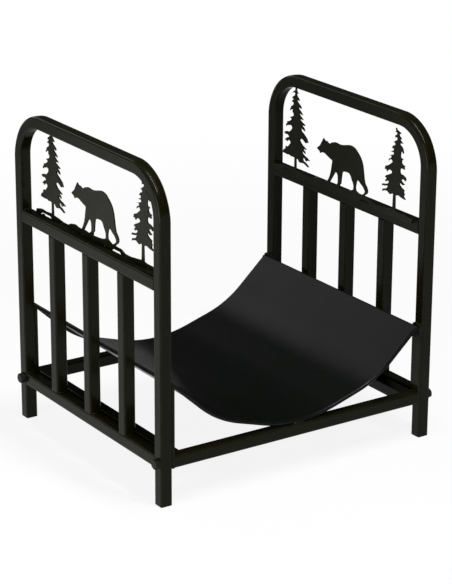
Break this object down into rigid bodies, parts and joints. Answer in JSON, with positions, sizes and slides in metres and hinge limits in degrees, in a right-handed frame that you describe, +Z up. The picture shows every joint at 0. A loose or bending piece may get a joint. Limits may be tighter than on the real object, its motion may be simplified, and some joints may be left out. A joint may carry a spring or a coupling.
{
  "type": "firewood rack",
  "caption": "Free-standing steel firewood rack: bent square-tube side frames with slats and cut-out bear and pine panels, bolted to a base with a curved sheet cradle for logs.",
  "frame": {"origin": "on the floor, under the middle of the rack", "axes": "+X across the width from the left side frame to the right one, +Y from front to rear, +Z up"},
  "size_m": [0.4778, 0.396, 0.477],
  "materials": {
    "frame_coat": "satin black powder coat on square tube and flat bar",
    "panel_coat": "satin black powder coat on cut sheet",
    "cradle_coat": "satin black powder coat on sheet and round bar",
    "hardware": "zinc plated bolts, washers and nuts"
  },
  "bodies": {
    "root": {"left_hoop": "frame_coat", "left_upper_rail": "frame_coat", "left_lower_rail": "frame_coat", "left_slat_front": "frame_coat", "left_slat_middle": "frame_coat", "left_slat_rear": "frame_coat", "right_hoop": "frame_coat", "right_upper_rail": "frame_coat", "right_lower_rail": "frame_coat", "right_slat_front": "frame_coat", "right_slat_middle": "frame_coat", "right_slat_rear": "frame_coat", "front_base_rail": "frame_coat", "rear_base_rail": "frame_coat", "left_base_rail": "frame_coat", "right_base_rail": "frame_coat", "front_left_strap": "frame_coat", "front_right_strap": "frame_coat", "rear_left_strap": "frame_coat", "rear_right_strap": "frame_coat", "left_panel": "panel_coat", "right_panel": "panel_coat", "cradle_sheet": "cradle_coat", "cradle_front_bar": "cradle_coat", "cradle_rear_bar": "cradle_coat", "cradle_left_bar": "cradle_coat", "cradle_right_bar": "cradle_coat", "bolts": "hardware", "washers": "hardware", "nuts": "hardware"}
  },
  "joints": []
}
